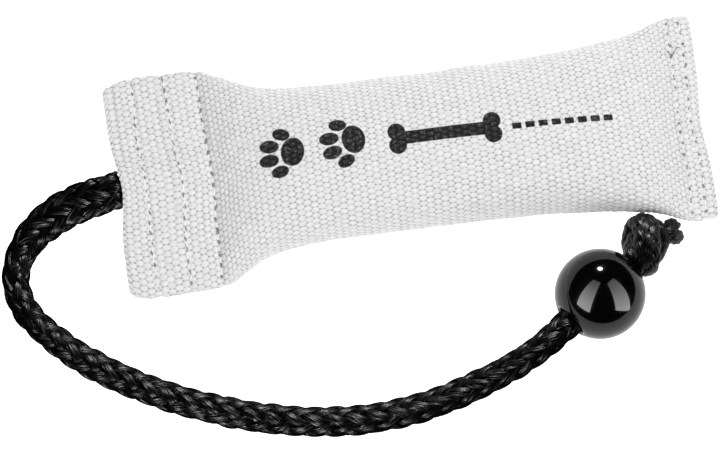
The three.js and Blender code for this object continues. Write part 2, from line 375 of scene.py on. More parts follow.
def ellipse_ink(wires, x, y, centre, radii, turn=0.0):
    """1 inside an ellipse, with a soft edge."""
    c, s = math.cos(turn), math.sin(turn)
    dx = wires.minus(x, centre[0])
    dy = wires.minus(y, centre[1])
    a = wires.times_plus(dx, c / radii[0], wires.times(dy, s / radii[0]))
    b = wires.times_plus(dy, c / radii[1], wires.times(dx, -s / radii[1]))
    far = wires.math("SQRT", wires.times_plus(a, a, wires.times(b, b)))
    soft = INK_EDGE / min(radii)
    return wires.step(far, 1 - soft, 1 + soft, 1.0, 0.0)


def bar_ink(wires, x, y, centre, half_sizes, corner):
    """1 inside a rectangle with rounded corners, with a soft edge."""
    past = []
    for coordinate, middle, half in zip((x, y), centre, half_sizes):
        away = wires.math("ABSOLUTE", wires.minus(coordinate, middle))
        past.append(wires.math("MAXIMUM", wires.minus(away, half - corner), 0.0))
    squares = wires.times_plus(past[0], past[0], wires.times(past[1], past[1]))
    far = wires.math("SQRT", squares)
    return wires.step(far, corner - INK_EDGE, corner + INK_EDGE, 1.0, 0.0)


def paw_ink(wires, x, y, centre, size, turn):
    """A paw print: one pad and four toes."""
    pads = [(0.02, -0.14, 0.31, 0.25), (-0.40, 0.12, 0.13, 0.19), (-0.15, 0.36, 0.14, 0.21),
            (0.16, 0.36, 0.14, 0.21), (0.41, 0.11, 0.13, 0.19)]
    marks = []
    c, s = math.cos(turn), math.sin(turn)
    for dx, dy, rx, ry in pads:
        spot = (centre[0] + size * (dx * c - dy * s), centre[1] + size * (dx * s + dy * c))
        marks.append(ellipse_ink(wires, x, y, spot, (rx * size, ry * size), turn - dx * 0.6))
    return marks


def bone_ink(wires, x, y, centre, half_length, half_height):
    """A dog bone: a bar with two knobs at each end."""
    marks = [bar_ink(wires, x, y, centre, (half_length - 4, half_height * 0.42), 1.0)]
    knob = half_height * 0.56
    for side in (-1, 1):
        for up in (-1, 1):
            spot = (centre[0] + side * (half_length - knob), centre[1] + up * (half_height - knob))
            marks.append(ellipse_ink(wires, x, y, spot, (knob, knob)))
    return marks


def print_ink(wires, x, y):
    """The generic print on the belly: paws, a bone and a row of small dashes."""
    marks = paw_ink(wires, x, y, (-51, 0.6), 19, 1.45)
    marks += paw_ink(wires, x, y, (-26, 1.4), 19, 1.7)
    marks += bone_ink(wires, x, y, (13.5, 0), 23, 6.4)
    dash = wires.math("PINGPONG", wires.minus(x, 40.0), 2.7)
    row = bar_ink(wires, dash, y, (2.7, -0.6), (1.9, 1.3), 0.5)
    inside = bar_ink(wires, x, y, (61.4, -0.6), (21.6, 4), 0.5)
    marks.append(wires.times(row, inside))
    total = marks[0]
    for mark in marks[1:]:
        total = wires.math("MAXIMUM", total, mark)
    return total


def canvas_material():
    """White woven canvas: pillowed cells, painted shade in the gaps between them and darker painted shade in
    the pits where they meet, and worn black print with painted highlights on the cell tops.
    """
    wires = Wires("canvas")
    u, v = wires.uv("weave")
    place = wires.place()
    drift = wires.noise(place, 60.0, 1.0)
    drift_across = wires.noise(wires.vector(v, u, 3.0), 0.21, 1.0)
    near = lattice_distance(wires,
                            wires.times_plus(drift, 0.3, wires.minus(u, 0.15)),
                            wires.times_plus(drift_across, 0.3, wires.minus(v, 0.15)))
    fibre = wires.noise(place, 1500.0, 2.0)
    # Painted shade: the gaps between cells are painted grey and the pits where three cells meet dark grey,
    # both unevenly, in place of the shade in the weave's hollows.
    shade_unevenness = wires.noise(place, 330.0, 2.0)
    painted_gap_shade = wires.times(wires.step(near, 0.34, 0.545), wires.step(shade_unevenness, 0.3, 0.68, 0.35, 1.0))
    painted_pit_shade = wires.times(wires.step(near, 0.47, 0.565), wires.step(shade_unevenness, 0.34, 0.60, 0.25, 1.0))
    tint = wires.step(wires.noise(place, 520.0, 2.0), 0.3, 0.7)
    cloth = wires.mix(tint, (0.81, 0.81, 0.806, 1), (0.73, 0.73, 0.726, 1))
    cloth = wires.mix(painted_gap_shade, cloth, (0.56, 0.56, 0.56, 1))
    cloth = wires.mix(painted_pit_shade, cloth, (0.19, 0.19, 0.19, 1))
    print_x, print_y = wires.uv("print")
    ink = print_ink(wires, print_x, print_y)
    worn = wires.step(wires.noise(place, 900.0, 2.0), 0.28, 0.44, 0.86, 1.0)
    ink = wires.times(ink, worn)
    # Painted highlight and shade: the ink is painted lighter on the cell tops and darker towards the gaps.
    ink_with_painted_highlight = wires.mix(wires.step(near, 0.1, 0.42), (0.032, 0.032, 0.032, 1), (0.011, 0.011, 0.011, 1))
    wires.set(Base_Color=wires.mix(ink, cloth, ink_with_painted_highlight))
    wires.set(Roughness=wires.step(ink, 0.0, 1.0, 0.92, 0.55))
    wires.set(Specular_IOR_Level=0.25, Sheen_Weight=0.15, Sheen_Roughness=0.5)
    pillow = wires.times_plus(wires.times(near, near), -3.0, 1.0)
    height = wires.times_plus(fibre, 0.14, pillow)
    wires.bump(height, 0.00045, 0.8)
    return wires.material


def foam_material():
    """Cream foam with open pores, painted darker where the bump sinks them in, as painted shade."""
    wires = Wires("foam")
    place = wires.place()
    pores = wires.noise(place, 900.0, 3.0)
    # Painted shade: the same noise that sinks the pores makes them darker.
    wires.set(Base_Color=wires.mix(pores, (0.62, 0.59, 0.5, 1), (0.8, 0.77, 0.69, 1)))
    wires.set(Roughness=0.95)
    wires.bump(pores, 0.0004, 0.7)
    return wires.material


def rope_material():
    """Black filament yarn. Each strand shows bundles of fine, glossy filaments, with light grey streaks
    painted into the colour as highlights.
    """
    wires = Wires("rope_fibre")
    around, along = wires.uv("strand")

    def streaks(fineness, shortness, seed, detail=1.0):
        across = wires.times(around, fineness)
        return wires.noise(wires.vector(across, wires.times(along, shortness), seed), 1.0, detail)

    bundles = streaks(17.0, 0.10, 0.0)
    filaments = streaks(70.0, 0.30, 5.0)
    height = wires.times_plus(filaments, 0.12, bundles)
    # Painted highlight: light grey streaks in patches stand in for glints along the filaments.
    painted_glint_streaks = wires.times(wires.step(streaks(26.0, 0.12, 9.0), 0.57, 0.70),
                      wires.step(streaks(90.0, 0.9, 3.0, 2.0), 0.38, 0.6, 0.15, 1.0))
    patch = wires.step(wires.noise(wires.place(), 150.0, 1.0), 0.42, 0.62)
    painted_glint_streaks = wires.times(painted_glint_streaks, patch)
    wires.set(Base_Color=wires.mix(painted_glint_streaks, (0.0008, 0.0008, 0.0008, 1), (0.12, 0.12, 0.122, 1)))
    wires.set(Roughness=wires.step(bundles, 0.3, 0.7, 0.34, 0.22))
    wires.set(IOR=1.49, Specular_IOR_Level=0.4)
    wires.bump(height, 0.0005, 1.0)
    return wires.material


def bead_material():
    """Polished black plastic with the faintest haze and handling marks."""
    wires = Wires("bead_plastic")
    haze = wires.noise(wires.place(), 140.0, 4.0)
    wires.set(Base_Color=wires.mix(haze, (0.0004, 0.0004, 0.0004, 1), (0.0016, 0.0016, 0.0016, 1)))
    wires.set(Roughness=wires.step(haze, 0.35, 0.7, 0.16, 0.24))
    wires.set(IOR=1.5, Specular_IOR_Level=0.07)
    wires.set(Coat_Weight=0.9, Coat_Roughness=0.035, Coat_IOR=1.5)
    wires.bump(wires.noise(wires.place(), 40.0, 1.0), 0.00002, 0.3)
    return wires.material


def thread_material():
    """White sewing thread with a fine twist, painted darker in the twist's grooves as painted shade."""
    wires = Wires("thread")
    place = wires.place()
    twist = wires.noise(place, 2600.0, 1.0)
    # Painted shade: the same noise that sinks the twist's grooves makes them darker.
    wires.set(Base_Color=wires.mix(twist, (0.86, 0.86, 0.85, 1), (0.97, 0.97, 0.96, 1)))
    wires.set(Roughness=0.4)
    wires.bump(twist, 0.0002, 0.6)
    return wires.material


def hole_shade_and_thread_material():
    """Painted shade: the shadowed cloth inside a needle hole, as dark grey. The loose dark thread at seam d
    takes this grey as its own colour.
    """
    wires = Wires("needle_hole_shade_and_dark_thread")
    grain = wires.noise(wires.place(), 1800.0, 1.0)
    wires.set(Base_Color=wires.mix(grain, (0.15, 0.15, 0.15, 1), (0.36, 0.36, 0.36, 1)))
    wires.set(Roughness=1.0, Specular_IOR_Level=0.0)
    return wires.material


def frayed_material():
    """Filament ends fused by heat: rough black lumps, with tiny glints painted into the colour as light grey
    specks.
    """
    wires = Wires("fused_fibre")
    place = wires.place()
    lumps = wires.noise(place, 1100.0, 3.0)
    ends = wires.noise(place, 2600.0, 1.0)
    # Painted highlight: light grey specks in the colour stand in for tiny glints.
    wires.set(Base_Color=wires.mix(wires.step(ends, 0.58, 0.68), (0.006, 0.006, 0.006, 1),
                                   (0.09, 0.09, 0.09, 1)))
    wires.set(Roughness=wires.step(lumps, 0.3, 0.7, 0.6, 0.3))
    wires.bump(lumps, 0.0012, 1.0)
    return wires.material


CANVAS = canvas_material()
FOAM = foam_material()
ROPE = rope_material()
BEAD = bead_material()
THREAD = thread_material()
HOLE_SHADE_AND_DARK_THREAD = hole_shade_and_thread_material()
FRAYED = frayed_material()

# ------------ the rope's path


def spline(points, spacing):
    """A centripetal Catmull-Rom curve through points, cut into short even steps."""
    points = np.asarray(points, float)
    p = np.concatenate([[2 * points[0] - points[1]], points, [2 * points[-1] - points[-2]]])
    knots = np.sqrt(np.linalg.norm(np.diff(p, axis=0), axis=1))
    dense = []
    for i in range(1, len(p) - 2):
        before, here, after = knots[i - 1], knots[i], knots[i + 1]
        out = (p[i] - p[i - 1]) / before - (p[i + 1] - p[i - 1]) / (before + here)
        out = (out + (p[i + 1] - p[i]) / here) * here
        into = (p[i + 1] - p[i]) / here - (p[i + 2] - p[i]) / (here + after)
        into = (into + (p[i + 2] - p[i + 1]) / after) * here
        t = np.linspace(0, 1, 24, endpoint=False)[:, None]
        hermite = (2 * t**3 - 3 * t**2 + 1) * p[i] + (t**3 - 2 * t**2 + t) * out
        dense.append(hermite + (3 * t**2 - 2 * t**3) * p[i + 1] + (t**3 - t**2) * into)
    dense.append(points[-1:])
    dense = np.concatenate(dense)
    walked = walk(dense)
    steps = np.linspace(0, walked[-1], max(2, round(walked[-1] / spacing)) + 1)
    return along_table(steps, walked, dense)


def bore_point(distance):
    return BEAD_CENTRE + BORE_DIRECTION * distance


def rope_points():
    points = [np.array(p) / MM for p in ROPE_ROUTE]
    for back in (STRAIGHT_BEFORE_BEAD, STRAIGHT_BEFORE_BEAD / 2, 0):
        points.append(bore_point(-BEAD_MOUTH - back))
    return points + [bore_point(0), bore_point(BEAD_MOUTH)]


class Course:
    """A path in short even steps that a rope follows, with the way that its flat side faces."""

    def __init__(self, points, outward):
        self.points = points
        self.walked = walk(points)
        self.length = self.walked[-1]
        self.tangent = unit(np.gradient(points, self.walked, axis=0))
        side = unit(np.cross(outward, self.tangent))
        for _ in range(12):
            side[1:-1] = side[1:-1] + 0.5 * (side[:-2] + side[2:])
            side = unit(side - self.tangent * np.sum(side * self.tangent, 1, keepdims=True))
        self.side = side
        self.outward = np.cross(self.tangent, self.side)

    def carry(self, s, y, z):
        """Where a point of a straight rope goes when the rope is laid along the path."""
        past = s - np.clip(s, 0, self.length)
        laid = along_table(s, self.walked, self.points)
        for table, away in ((self.tangent, past), (self.side, y), (self.outward, z)):
            laid = laid + unit(along_table(s, self.walked, table)) * away[..., None]
        return laid


def lying_course(points, spacing=0.6):
    """A course through points, for a rope that lies with its flat side up."""
    route = spline(points, spacing)
    return Course(route, np.tile(UPWARD, (len(route), 1)))


# ------------ braided rope

STRANDS_EACH_WAY = 8
STRAND_HALF_WIDTH = 2.05
STRAND_HALF_THICKNESS = 0.95
STRAND_OFFSET = 61.7             # keeps the fibres of one strand unlike its neighbour's
BRAID_WAVE = 0.95                # how far a strand rises and dips as it crosses the others
KNOT_WAVE = 0.75                 # drawn tight, the strands lie flatter


def braid(start, end, shape, course, phase=0.0, lead=BRAID_LEAD, wave=BRAID_WAVE, step=1.3, sides=14):
    """The closed strands of a hollow braid, from start to end along a course.

    Each strand goes over two others and under two. shape(s) gives the rope's half width and
    half height at a distance along the course; a flattened rope's strands keep their thickness.
    """
    rng = np.random.default_rng(round(10 * (end - start)))
    s = np.linspace(start, end, max(4, round((end - start) / step)) + 1)
    wide, high = shape(s)
    a = wide - wave - STRAND_HALF_THICKNESS
    b = high - wave - STRAND_HALF_THICKNESS
    closing = np.ones(len(s))
    closing[[0, -1]] = 0.02
    angles = round_angles(sides)
    quads = tube_quads(len(s), sides)
    row, column = quads[:, 0] // sides, quads[:, 0] % sides
    strands = Bodies()
    for way in (1, -1):
        for k in range(STRANDS_EACH_WAY):
            theta = 2 * math.pi * (way * (s + phase) / lead + (k + 0.25) / STRANDS_EACH_WAY)
            over = way * np.cos(STRANDS_EACH_WAY / 2 * theta)
            over = np.sign(over) * np.abs(over) ** 0.6
            slack = 1 + 0.22 * ripple(s, 0, rng.integers(999), 26)
            theta = theta + 0.05 * ripple(s, 0, rng.integers(999), 17)
            outward = unit(np.stack([0 * s, b * np.cos(theta), a * np.sin(theta)], 1))
            centre = np.stack([s, a * np.cos(theta), b * np.sin(theta)], 1)
            centre = centre + outward * (wave * over * slack)[:, None]
            tangent = unit(np.gradient(centre, s, axis=0))
            across = unit(np.cross(tangent, outward))
            rise = np.cross(across, tangent)
            swell = (0.88 + 0.12 * over) * (1 + 0.08 * ripple(s, 0, rng.integers(999), 30))
            to_side = (STRAND_HALF_WIDTH * swell * closing)[:, None] * np.cos(angles)
            to_top = (STRAND_HALF_THICKNESS * closing)[:, None] * np.sin(angles)
            ring = centre[:, None] + across[:, None] * to_side[..., None] - rise[:, None] * to_top[..., None]
            laid = course.carry(ring[..., 0], ring[..., 1], ring[..., 2])
            around = (np.array([0, 1, 1, 0]) + column[:, None]) / sides
            along = s[row][:, None] + np.array([0, 0, 1, 1]) * (s[1] - s[0])
            along = along + STRAND_OFFSET * (k + STRANDS_EACH_WAY * way)
            strands.add(laid.reshape(-1, 3), quads, 0, np.stack([around, along], -1).reshape(-1, 2))
    return strands


def braided_piece(name, node, start, shape, course, phase=0.0, lead=BRAID_LEAD, wave=BRAID_WAVE):
    """A braided length of rope as one piece, up to the end of its course."""
    strands = braid(start, course.length, shape, course, phase, lead, wave)
    return strands.make(name, [ROPE], "rope_fibre", node, "strand")


def rope_shape(s):
    """Pressed flat in the hem, spread where it comes out, tight in the bend, then plump."""
    spread = 0.6 * smoothstep(s, -2, 10)
    rounded = (8.6 - ROPE_RADIUS) * smoothstep(s, 22, 62)
    plump = 0.45 * smoothstep(s, 80, 110) - 0.35 * smoothstep(s, 250, 290)
    pressed = 0.75 * smoothstep(s, -26, -2)
    high = 2.1 + pressed + (ROPE_RADIUS - 2.85) * smoothstep(s, -4, 52)
    return 7.9 + spread - rounded + plump, high


def make_tail():
    """The end of the rope that is stitched between the hems."""
    course = lying_course([(-82.2, 0.0, 18.8), (-100.0, 0.0, 18.1), (-120.5, 0.1, 17.6)])
    before_mouth = course.length + 2.5
    return braided_piece("stitched_rope_tail", "rope_tail", 0.0,
                         lambda s: rope_shape(s - before_mouth), course, -before_mouth)


ROPE_COURSE = lying_course(rope_points())
ROPE_PIECE = braided_piece("braided_rope", "rope", -4.0, rope_shape, ROPE_COURSE)
TAIL_PIECE = make_tail()

# ------------ the knot and the rope's end

KNOT_LEFT = np.array([-BORE_DIRECTION[1], BORE_DIRECTION[0], 0])
KNOT_CENTRE = bore_point(KNOT_DISTANCE) + KNOT_LEFT * KNOT_SIDESTEP - np.array([0, 0, KNOT_DROP])

# The knot's centre line: away from the bead, to the left, and up from the knot's middle.
KNOT_ROUTE = [
    (-10.5, -2.2, 1.6),
    (-7.0, 0.6, 1.2),
    (-1.5, 4.6, -0.6),
    (4.0, 5.6, -0.8),
    (7.3, 3.4, 0.4),
    (7.3, -0.8, 0.6),
    (3.8, -4.0, -2.0),
    (-1.4, -4.8, -5.6),
    (-5.0, -1.2, -7.2),
    (-2.6, 5.2, -6.4),
    (3.2, 8.6, -2.6),
    (4.9, 7.4, 3.4),
    (1.2, 2.2, 7.0),
    (-3.8, -3.2, 6.8),
    (-7.0, -6.4, 3.0),
    (-6.2, -6.4, -2.6),
    (-1.0, -3.6, -4.0),
    (4.0, -2.4, -2.4),
]


def from_knot(points):
    axes = np.stack([BORE_DIRECTION, KNOT_LEFT, UPWARD])
    return np.asarray(points, float) @ axes + KNOT_CENTRE


def knot_shape(s):
    """Drawn tight, the rope is thinner than where it is free, and flat where it wraps."""
    wrap = smoothstep(s, 48, 60) * (1 - smoothstep(s, 84, 94))
    entry = 1 - smoothstep(s, 0, 12)
    return 4.5 + 1.2 * wrap + 0.3 * entry, 3.9 - 0.3 * wrap + 0.9 * entry


def make_knot():
    route = spline(from_knot(KNOT_ROUTE), 0.6)
    outward = route - KNOT_CENTRE
    outward[:10] = outward[10]
    return braided_piece("overhand_knot", "stopper_knot", 0.0, knot_shape, Course(route, outward),
                         4.0, KNOT_LEAD, KNOT_WAVE)


def lump(centre, radii, seed, rows=22, columns=36):
    """A closed, uneven blob."""
    latitude = np.linspace(0.04, math.pi - 0.04, rows)[:, None]
    longitude = round_angles(columns)
    x = np.cos(latitude) + 0 * longitude
    y = np.sin(latitude) * np.cos(longitude)
    z = np.sin(latitude) * np.sin(longitude)
    swell = 1 + 0.10 * ripple(x * 6 + z * 2, y * 6, seed, 5) + 0.05 * ripple(x * 6, z * 6 + y, seed + 1, 2)
    swell[0] = swell[0].mean()
    swell[-1] = swell[-1].mean()
    unit_points = np.stack([x * swell, y * swell, z * swell], -1).reshape(-1, 3)
    return unit_points * np.asarray(radii) + centre, tube_quads(rows, columns)[:, ::-1]


def make_rope_end():
    """A short stub, its strands fused into three lumps."""
    start = np.array([94.5, -48.6, 15.6])
    tip = np.array([103.0, -46.0, 14.4])
    course = lying_course([start, (start + tip) / 2 + [0, 0, 0.4], tip], 0.5)
    bodies = braid(0, course.length, lambda s: (4.2 + 0 * s, 4.2 + 0 * s), course)
    for centre, radii, seed in (((102.6, -43.6, 15.2), (3.4, 3.1, 3.3), 5),
                                ((103.6, -48.2, 14.0), (3.5, 3.2, 3.4), 9),
                                ((101.4, -46.2, 16.4), (2.9, 2.8, 2.6), 12)):
        bodies.add(*lump(np.array(centre), radii, seed), 1)
    return bodies.make("fused_rope_end", [ROPE, FRAYED], "rope_fibre", "rope_end", "strand")


KNOT_PIECE = make_knot()
END_PIECE = make_rope_end()

# ------------ the bead


def make_bead():
    """A ball turned with a straight bore, whose mouths are rounded over."""
    lip = 1.3
    lip_angle = math.acos((BORE_RADIUS + lip) / BEAD_RADIUS)
    height = BEAD_RADIUS * math.sin(lip_angle)

    def lip_point(angle, way):
        away = BORE_RADIUS + lip * (1 - math.sin(angle))
        return away, way * (height - lip * (1 - math.cos(angle)) * 0.9)

    profile = []
    for angle in np.linspace(-lip_angle, lip_angle, 81):
        profile.append((BEAD_RADIUS * math.cos(angle), BEAD_RADIUS * math.sin(angle)))
    for angle in np.linspace(0.3, math.pi / 2, 7):
        profile.append(lip_point(angle, 1))
    for level in np.linspace(height - 1.6, -height + 1.6, 9):
        profile.append((BORE_RADIUS, level))
    for angle in np.linspace(math.pi / 2, 0.3, 7):
        profile.append(lip_point(angle, -1))
    profile = np.array(profile)
    columns = 144
    turn = round_angles(columns)
    round_it = KNOT_LEFT * np.cos(turn)[:, None] + UPWARD * np.sin(turn)[:, None]
    points = (BEAD_CENTRE + BORE_DIRECTION * profile[:, 1, None, None]
              + round_it[None] * profile[:, 0, None, None])
    quads = grid_quads(len(profile), columns, close_rows=True)
    return make_piece("polished_bead", points.reshape(-1, 3), quads, [BEAD], "bead", "bead")


BEAD_PIECE = make_bead()

# ------------ shape of the hose


def fade(distance, length, power):
    """From 1 at a seam towards 0 in the belly."""
    return np.exp(-((np.maximum(distance, 0) / length) ** power))


def past_seam(x):
    """Distance into the belly from the nearer of the two seams that close it."""
    return x - BELLY_LEFT if x < 0 else BELLY_RIGHT - x


def flap_half_width(x):
    """Half width of a flat end, with its corners rounded off."""
    width, start, depth = (LEFT_HALF_WIDTH, 10.5, 2.4) if x < 0 else (RIGHT_HALF_WIDTH, 4, 0.8)
    into_corner = max(0, start - (HALF_LENGTH - abs(x))) / start
    spread = min(0.9 * ((x + 103) / 20) ** 2, 0.9) if x < 0 else 0
    return width - spread - depth * into_corner**2


def hose_half_width(x):
    distance = past_seam(x)
    seam = BELLY_LEFT if x < 0 else BELLY_RIGHT
    flap = flap_half_width(seam if distance > 0 else x)
    amount = fade(distance, 17, 1.5) if x < 0 else fade(distance, 22, 1)
    return BELLY_HALF_WIDTH + (flap - BELLY_HALF_WIDTH) * amount


def hose_half_height(x):
    distance = past_seam(x)
    amount = fade(distance, 19, 1.25) if x < 0 else fade(distance, 27, 1.1)
    return BELLY_HALF_HEIGHT + (FLAP_HALF_HEIGHT - BELLY_HALF_HEIGHT) * amount


def axis_z(x):
    end = LEFT_AXIS_Z if x < 0 else RIGHT_AXIS_Z
    return BELLY_AXIS_Z + (end - BELLY_AXIS_Z) * (abs(x) / HALF_LENGTH) ** 3


def tail_hump(x, y):
    """Extra half height over the stitched rope tail."""
    along = smoothstep(BELLY_LEFT + 6 - x, 0, 12)
    return 2 * np.exp(-((y / 10.8) ** 4)) * along


def section(x, depth, angles):
    """Points of a cross-section of the hose, a given depth below its surface."""
    a = hose_half_width(x) - depth
    b = hose_half_height(x) - depth
    flatness = (BELLY_HALF_HEIGHT - hose_half_height(x)) / (BELLY_HALF_HEIGHT - FLAP_HALF_HEIGHT)
    power = 2 / (2 + 2.5 * flatness)
    c, s = np.cos(angles), np.sin(angles)
    y = a * np.sign(c) * np.abs(c) ** power
    z = b * np.sign(s) * np.abs(s) ** power
    hump = np.sign(s) * np.minimum(1, np.abs(s) * 4) * tail_hump(x, y)
    return np.stack([x + 0 * y, y, np.maximum(axis_z(x) + z + hump, depth)], 1)


def drawn_in(points):
    """Points of the cloth after its stitching has drawn the middle of each end inwards."""
    x, y = points[..., 0], points[..., 1]
    left = np.interp(x, [-122.5, -117, -110.3, -103, -96.6, -83.5, -72, -60],
                     [3.0, 1.7, 0.5, 1.6, 2.6, 1.8, 0.6, 0])
    left = left * np.exp(-(((y + 1) / 14) ** 2))
    right = np.interp(x, [90, 111.9, 117.5, 122.5], [0, 0.3, 0.8, 1.7]) * np.exp(-(((y + 3) / 14) ** 2))
    skew = np.interp(x, [-96.6, -83.5, -60, 90, 111.9, 117.5], [-0.028, -0.02, 0, 0, 0.033, 0.02])
    moved = points.copy()
    moved[..., 0] = x + left - right + skew * y
    return moved


SAMPLES_PER_CELL = 4
SAMPLES_PER_COLUMN = 3
ROUND = CELLS_ROUND * SAMPLES_PER_CELL


def even_ring(x, depth):
    """A cross-section with its points evenly spaced over each face, starting at its +Y edge."""
    halves = []
    for start in (0, math.pi):
        curve = section(x, depth, np.linspace(start, start + math.pi, 601))
        walked = walk(curve)
        wanted = np.arange(ROUND // 2) / (ROUND // 2) * walked[-1]
        halves.append(along_table(wanted, walked, curve))
    return np.concatenate(halves)


def hose_stations():
    """Even steps along the cloth, closer together in X where the belly swells."""
    x = np.linspace(-HALF_LENGTH + FOLD_REACH, HALF_LENGTH - FOLD_REACH, 2001)
    rise = np.gradient([hose_half_height(v) for v in x], x)
    crowded = 1 + 0.28 * np.exp(-(((x + 76) / 9) ** 2)) + 0.35 * np.exp(-(((x - 105) / 9) ** 2))
    steps = np.diff(x) * crowded[1:] * np.sqrt(1 + 0.64 * rise[1:] ** 2)
    walked = np.concatenate([[0], np.cumsum(steps)])
    columns = round(walked[-1] / COLUMN_PITCH)
    wanted = np.arange(columns * SAMPLES_PER_COLUMN + 1) / (columns * SAMPLES_PER_COLUMN)
    return np.interp(wanted * walked[-1], walked, x)


# ------------ the woven sleeve

WEAVE_RELIEF = 0.55              # height of a weave cell above the gaps beside it
RINGS_ROUND_FOLD = 7
FAR_FROM_PRINT = -999            # a place in the print's UV map where there is no ink


def seam_line(letter, y):
    """X of a seam at a distance across the flap, before the ends are drawn in."""
    middle = SEAMS[letter]["x"]
    return middle + 0.3 * np.sin(y * 0.13 + middle)


def surface_detail(points):
    """Small rises and hollows of the cloth, apart from its weave, in mm."""
    x, y, z = points[..., 0], points[..., 1], points[..., 2]
    above = z > np.array([axis_z(v) for v in x[:, 0]])[:, None]
    total = 0.16 * ripple(x, y, 3, 26) + 0.10 * ripple(x, y, 4, 11)
    for letter, seam in SEAMS.items():
        depth, width = seam["groove"]
        total = total - depth * np.exp(-(((x - seam_line(letter, y)) / width) ** 2))
    # A ridge stands beside seam b, the hem's outer edge rolls under, and seam d has a dimple.
    ridge = np.exp(-(((x - seam_line("b", y) + 1.7) / 0.9) ** 2)) * smoothstep(y, -30, -10)
    total = total + 0.8 * ridge * above * (1 - smoothstep(y, 30, 40))
    roll = np.exp(-(((x + HALF_LENGTH - 3.6) / 1.0) ** 2)) * smoothstep(y, -2, 14)
    total = total - 0.9 * roll * above
    dimple = np.exp(-(((x - 107) / 3.5) ** 2) - ((y - 26) / 3.5) ** 2)
    total = total - 0.9 * dimple * above
    # The cloth gathers where the belly meets each stitched end.
    gathers = np.exp(-(((x - BELLY_RIGHT + 14) / 13) ** 2))
    total = total + 0.5 * gathers * ripple(x * 0.35, y, 8, 15)
    gathers = np.exp(-(((x - BELLY_LEFT - 9) / 8) ** 2))
    return total + 0.25 * gathers * ripple(x * 0.3, y, 9, 12)


def weave_height(u, v):
    """Height of the staggered cells, from 0 in the gaps to 1, each a little different."""
    rng = np.random.default_rng(21)
    table = rng.uniform(0.82, 1.0, (256, CELLS_ROUND * 2))
    best = np.full(u.shape, 9.0)
    lift = np.ones(u.shape)
    for first_u, first_v in ((0, 0), (1, 0.5)):
        cell_u = np.round((u - first_u) / 2)
        cell_v = np.round(v - first_v)
        away = np.hypot((u - first_u - 2 * cell_u) * COLUMN_STEP, v - first_v - cell_v)
        number = (2 * cell_u + first_u).astype(int) % 256
        own = table[number, (2 * cell_v + first_u).astype(int) % (2 * CELLS_ROUND)]
        lift = np.where(away < best, own, lift)
        best = np.minimum(best, away)
    return lift * (1 - np.clip(best / 0.6, 0, 1) ** 2.2)


def grid_normals(points):
    """Outward normals of the closed grid of rings."""
    around = np.roll(points, -1, 1) - np.roll(points, 1, 1)
    along = np.roll(points, -1, 0) - np.roll(points, 1, 0)
    normals = np.cross(around, along)
    return normals / np.maximum(np.linalg.norm(normals, axis=-1, keepdims=True), 1e-9)


def fold_rings(sign, count):
    """X and depth of the rings round the fold of an end, from the outside inwards."""
    nose = CLOTH + GAP / 2
    rings = []
    for q in np.linspace(-1, 1, count + 2)[1:-1]:
        rings.append((sign * (HALF_LENGTH - FOLD_REACH * (1 - math.sqrt(1 - q * q))), nose * (1 + q)))
    return rings


def sleeve_rings():
    """X and depth of every ring: hem, fold, outside, fold, hem, and back inside the wall.

    It also gives how many of them are in the left hem, and how many on the outside.
    """
    fold = HALF_LENGTH - FOLD_REACH
    inner = 2 * CLOTH + GAP
    outer = CLOTH + GAP
    left_cut, right_cut = -HALF_LENGTH + LEFT_HEM, HALF_LENGTH - RIGHT_HEM
    left_hem = [(left_cut, inner), (-108, inner), (-fold, inner)]
    left_fold = fold_rings(-1, RINGS_ROUND_FOLD)[::-1]
    outside = [(x, 0) for x in hose_stations()]
    right_fold = fold_rings(1, RINGS_ROUND_FOLD)
    right_hem = [(fold, inner), (115, inner), (right_cut, inner)]
    back = [(right_cut, outer), (fold, outer)]
    back += [(x, CLOTH) for x in (fold, 113, 108, 102, 94, 84, 70, 50, 20, -10, -40)]
    back += [(x, CLOTH) for x in (-56, -64, -71, -77, -84, -95, -108, -fold)]
    back += [(-fold, outer), (-108, outer), (left_cut, outer)]
    rings = left_hem + left_fold + outside + right_fold + right_hem + back
    return rings, len(left_hem), len(outside)


